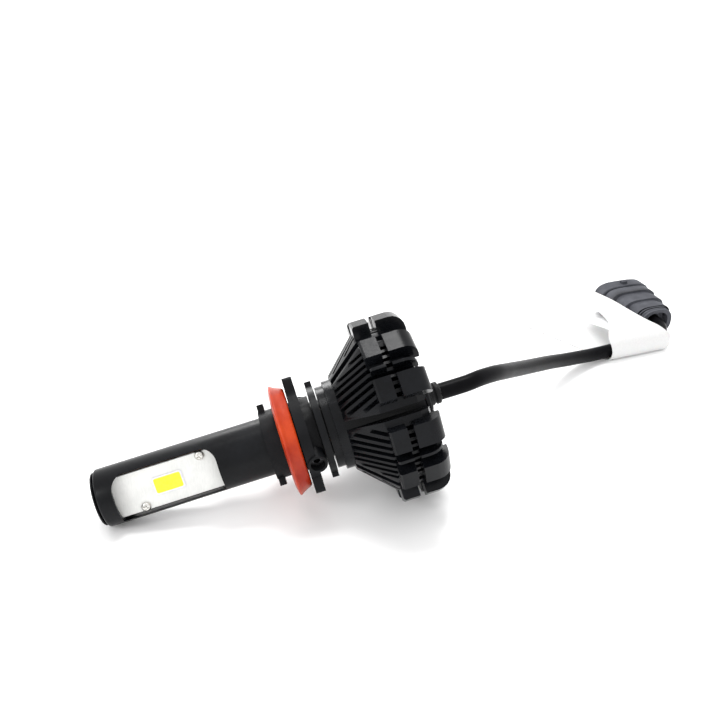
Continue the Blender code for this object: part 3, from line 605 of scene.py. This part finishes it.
# %% Boards, chips and screws
BOARD_FACE = 3.7
BOARD_SCREW_HEAD = 1.3
BOARD_SCREWS = ((28.9, -4.5, 20.0), (11.8, 4.5, 65.0))  # station, place across, turn of the cross
RIM_LOW, RIM_HIGH = (3.66, -2.45, 15.2), (3.84, 2.45, 23.2)
GEL_LOW, GEL_HIGH = (3.68, -2.05, 15.65), (3.92, 2.05, 22.75)

for side, turn in BOTH_FACES:
    face = LAMP @ round_lamp(BOARD_TURN + turn)
    softened(f"light_board_{side}", f"led_board_{side}", BOARD_WHITE, "lamp", 0.08)
    dam = finished(f"chip_rim_{side}", bar(RIM_LOW, RIM_HIGH, 0, 0.6, 6),
                   CHIP_RIM, "lamp", face, (f"led_chip_{side}",))
    round_edges(dam, 0.07, 2)
    gel = finished(f"chip_phosphor_{side}", bar(GEL_LOW, GEL_HIGH, 0, 0.5, 6),
                   PHOSPHOR, "lamp", face)
    round_edges(gel, 0.06, 2)


def screw(name, lay, head, node):
    """A nickel pan-head screw with a cross in its head, whose seat is at 0 on local Z."""
    high = head * 0.58
    profile = [(0, high), (head * 0.4, high * 0.97), (head * 0.7, high * 0.82), (head * 0.9, high * 0.5),
               (head, high * 0.12), (head, 0), (head * 0.56, 0), (head * 0.56, -2.4), (0, -2.4)]
    piece = finished(name, spun(profile, 48, closed=False), NICKEL, "lamp", lay, (node,), 40.0)
    wide, arm = head * 0.13, head * 0.62
    carve(piece, bar((-arm, -wide, high * 0.45), (arm, wide, high * 2)), lay)
    carve(piece, bar((-wide, -arm, high * 0.45), (wide, arm, high * 2)), lay)


quarter = Matrix.Rotation(math.pi / 2, 4, "Y")
for side, turn in BOTH_FACES:
    for number, (station, across, spin) in enumerate(BOARD_SCREWS, start=1):
        lay = (LAMP @ round_lamp(BOARD_TURN + turn)
               @ Matrix.Translation(Vector((BOARD_FACE, across, station)) * MM)
               @ quarter @ Matrix.Rotation(math.radians(spin), 4, "Z"))
        screw(f"light_screw_{side}_{number}", lay, BOARD_SCREW_HEAD, f"board_screw_{side}_{number}")

# %% [markdown]
# ## The base and its seal
#
# The base turns on the post, so its pieces ride the collar. The seal is turned from a rounded
# profile with a thin front lip.

# %% Base collar, seal and lock ring
softened("bayonet_base", "base_collar", BASE_NYLON, "collar", 0.16)
finished("orange_seal", spun([
    (13.0, 54.4), (13.35, 54.22), (13.6, 53.85), (13.95, 52.9), (14.3, 52.1), (14.62, 51.6), (14.86, 51.3),
    (14.98, 51.12), (15.0, 50.98), (14.9, 50.78), (14.66, 50.62), (14.3, 50.52), (13.85, 50.4),
    (13.4, 50.26), (13.1, 50.2), (9.9, 50.2), (9.56, 50.35), (9.56, 54.4)], 160),
    SEAL_SILICONE, "collar", LAMP, ("seal_ring",), 60.0)
softened("locking_ring", "lock_ring", POST_BLACK, "lamp", 0.18)
keep(BLACK_STEEL, "set_screw_1", "set_screw_2")

# %% [markdown]
# ## The heat sink and what closes it
#
# The heat sink is the one part whose shape is all in its cuts. The softened copy keeps every fin
# and block of the measured part and gives each a bevel.

# %% Heat sink, rear cover, gland
COVER_FACE = 89.9
COVER_SCREW_REACH = 10.3
COVER_SCREW_HEAD = 1.1

sink = softened("finned_heat_sink", "heat_sink", SINK_BLACK, "lamp", 0.20)
print("heat sink", len(sink.data.polygons), "faces")
softened("back_cover", "rear_cover", SINK_BLACK, "lamp", 0.12)
finished("lead_gland", spun([
    (2.5, 94.0), (2.72, 93.97), (2.9, 93.86), (3.0, 93.66), (3.0, 92.75), (2.92, 92.64), (2.68, 92.58),
    (2.65, 92.5), (2.65, 92.2), (2.72, 92.1), (2.95, 92.02), (3.0, 91.9), (3.0, 91.4), (3.3, 91.28),
    (4.1, 91.12), (4.34, 91.0), (4.4, 90.8), (4.4, 90.1), (1.6, 90.1), (1.6, 94.0)], 96),
    GLAND_RUBBER, "lamp", LAMP, ("cable_gland",), 40.0)
for number, side in enumerate((-1, 1), start=1):
    lay = (LAMP @ round_lamp(SECTOR_TURN)
           @ Matrix.Translation(Vector((side * COVER_SCREW_REACH, 0, COVER_FACE)) * MM)
           @ Matrix.Rotation(math.radians(30.0 * number), 4, "Z"))
    screw(f"back_screw_{number}", lay, COVER_SCREW_HEAD, f"cover_screw_{number}")

# %% Pieces inside the lamp
keep(COPPER, "thermal_core", "driver_coil")
keep(CIRCUIT_GREEN, "driver_board")
keep(CHIP_BLACK, "driver_chip")
keep(NICKEL, "driver_capacitor")
keep(WIRE_RED, "lamp_wire_red", "feed_wire_red")
keep(WIRE_BLACK, "lamp_wire_black", "feed_wire_black")
keep(BLADE_METAL, "plug_blade_1", "plug_blade_2")

# %% [markdown]
# ## The plug
#
# The boot is drawn as one outline, a rounded rectangle, that is pulled out and resized tier by
# tier. The grooves between the tiers are the same outline, pulled in a little. The shroud is made
# the same way, with two small keys on it and a deep mouth.

# %% Outline and tiers
OUTLINE_POINTS = 96


def outline_point(angle, wide, high, power):
    """A point on a rounded rectangle: the higher the power, the squarer its corners."""
    c, s = math.cos(angle), math.sin(angle)
    return (math.copysign(abs(c) ** (2 / power), c) * wide * MM,
            math.copysign(abs(s) ** (2 / power), s) * high * MM)


def pulled(sections):
    """Pull one outline through (half width, half height, station, power) sections."""
    bm = bmesh.new()
    bmesh.ops.create_circle(bm, cap_ends=True, radius=1.0, segments=OUTLINE_POINTS)
    end = list(bm.faces)[0]
    for index, (wide, high, station, power) in enumerate(sections):
        if index:
            grown = bmesh.ops.extrude_face_region(bm, geom=[end])
            end = [f for f in grown["geom"] if isinstance(f, bmesh.types.BMFace)][0]
        for order, vert in enumerate(sorted_round(end)):
            x, y = outline_point(2 * math.pi * order / OUTLINE_POINTS, wide, high, power)
            vert.co = (x, y, station * MM)
    bmesh.ops.recalc_face_normals(bm, faces=bm.faces)
    return bm


def sorted_round(face):
    """A face's corners in order, from the one nearest local +X, turning towards +Y."""
    verts = list(face.verts)
    middle = face.calc_center_median()
    first = max(range(len(verts)), key=lambda i: (verts[i].co - middle).normalized().x)
    verts = verts[first:] + verts[:first]
    if (verts[1].co - middle).y < 0:
        verts = verts[:1] + verts[:0:-1]
    return verts


tiers = ((6.3, 4.9, 0.0, 0.7), (6.5, 5.0, 1.1, 1.6), (6.8, 5.1, 2.0, 2.5), (7.3, 5.2, 2.9, 6.4),
         (8.6, 5.5, 8.8, 13.3), (9.7, 5.8, 15.6, 19.9))
sections = []
for index, (wide, high, start, end) in enumerate(tiers):
    power = 2.5 + 0.2 * index
    if index:
        before = tiers[index - 1]
        waist = before[0] - 0.5, before[1] - 0.4
        sections += [(*waist, before[3] + 0.12, power), (*waist, start - 0.12, power)]
    sections += [(wide, high, start, power), (wide, high, end, power)]

boot = finished("plug_tiers", pulled(sections), PLUG_RUBBER, "lamp", PLUG, ("plug_boot",))
carve(boot, bar((-6.3, -4.0, 11.0), (6.3, 4.0, 22.0)), PLUG)
carve(boot, bar((-4.6, -3.6, -1.0), (4.6, 3.6, 3.0), 2, 3.3, 10), PLUG)
round_edges(boot, 0.22, 3, 30.0)

shroud = finished("plug_shroud", pulled([(10.1, 5.7, 20.8, 3.4), (10.4, 6.0, 21.1, 3.4),
                                         (10.4, 6.0, 25.7, 3.4), (10.1, 5.7, 26.0, 3.4)]),
                  PLUG_RUBBER, "lamp", PLUG, ("plug_shell",))
carve(shroud, bar((-6.0, -3.7, 11.4), (6.0, 3.7, 21.6)), PLUG, "UNION")
carve(shroud, bar((-1.1, -7.1, 21.9), (1.1, -5.4, 23.7)), PLUG, "UNION")
carve(shroud, bar((-11.8, -1.1, 21.9), (-9.9, 1.1, 23.7)), PLUG, "UNION")
carve(shroud, bar((-8.4, -4.3, 22.2), (8.4, 4.3, 28.0), 2, 1.2, 5), PLUG)
carve(shroud, bar((-4.9, -2.8, 13.8), (4.9, 2.8, 24.0), 2, 0.6, 4), PLUG)
round_edges(shroud, 0.18, 2, 30.0)

# %% [markdown]
# ## The label
#
# The label is a strip of coated paper, folded once round the lead. One end lies on the table, and
# the other comes back over the lead and the plug. The strip is a fine grid laid over a smooth run
# of rows, and a Solidify modifier gives it its thickness.

# %% Blank folded label
LABEL_MIDDLE = Vector((0.1400, 0.0590, 0.0))
FOLD_HEIGHT = 4.5 * MM
PAPER_THICKNESS = 0.28 * MM
LABEL_TURN = Matrix.Rotation(math.radians(28.1), 3, "Z")
LABEL_ROWS = (
    ((-17.0, 38.0, 0.1), (2.0, 38.0, 0.1)),
    ((-16.0, 8.0, 0.1), (5.0, 4.0, 0.1)),
    ((-16.0, 3.0, 0.1), (6.0, -4.5, 0.1)),
    ((-16.2, 1.2, 1.4), (6.2, -6.6, 1.6)),
    ((-16.6, 0.4, 3.8), (6.2, -7.3, 4.4)),
    ((-17.4, 0.6, 6.8), (5.6, -6.4, 7.4)),
    ((-17.4, 2.0, 9.0), (3.9, -3.6, 9.7)),
    ((-15.0, 4.2, 10.2), (2.0, 0.8, 11.2)),
    ((-10.0, 8.0, 11.0), (1.9, 7.3, 12.2)),
    ((-5.6, 16.0, 11.4), (3.7, 16.5, 12.6)),
    ((-1.0, 24.5, 10.8), (5.6, 26.0, 12.2)),
)


def label_edge(side):
    """One long edge of the strip as a smooth run of points; side is 0 or 1."""
    corners = [LABEL_MIDDLE + LABEL_TURN @ Vector(row[side]) * MM for row in LABEL_ROWS]
    return smooth_through(corners, 8)


left_edge, right_edge = label_edge(0), label_edge(1)
rows, columns = len(left_edge) - 1, 10
bm = bmesh.new()
bmesh.ops.create_grid(bm, x_segments=columns, y_segments=rows, size=1.0)
for vert in bm.verts:
    across = (vert.co.x + 1) / 2
    row = round((vert.co.y + 1) / 2 * rows)
    vert.co = left_edge[row].lerp(right_edge[row], across)
bmesh.ops.recalc_face_normals(bm, faces=bm.faces)
fold_face = min(bm.faces, key=lambda face: abs(face.calc_center_median().z - FOLD_HEIGHT))
print("label fold faces", tuple(round(v, 2) for v in fold_face.normal))
outwards = LABEL_TURN @ Vector((0, -1, 0))
if fold_face.normal.dot(outwards) < 0:
    bmesh.ops.reverse_faces(bm, faces=bm.faces)
label = finished("blank_label", bm, LABEL_PAPER, "lamp", None, ("cord_label",), 180.0)
solidify = label.modifiers.new("paper", "SOLIDIFY")
solidify.thickness = PAPER_THICKNESS
solidify.offset = -1.0
round_edges(label, 0.05, 1, 60.0)

# %% Give the lead its finish and attach it to the lamp
lead.data.materials.append(LEAD_JACKET)
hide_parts("cord")
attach(lead, "lamp")
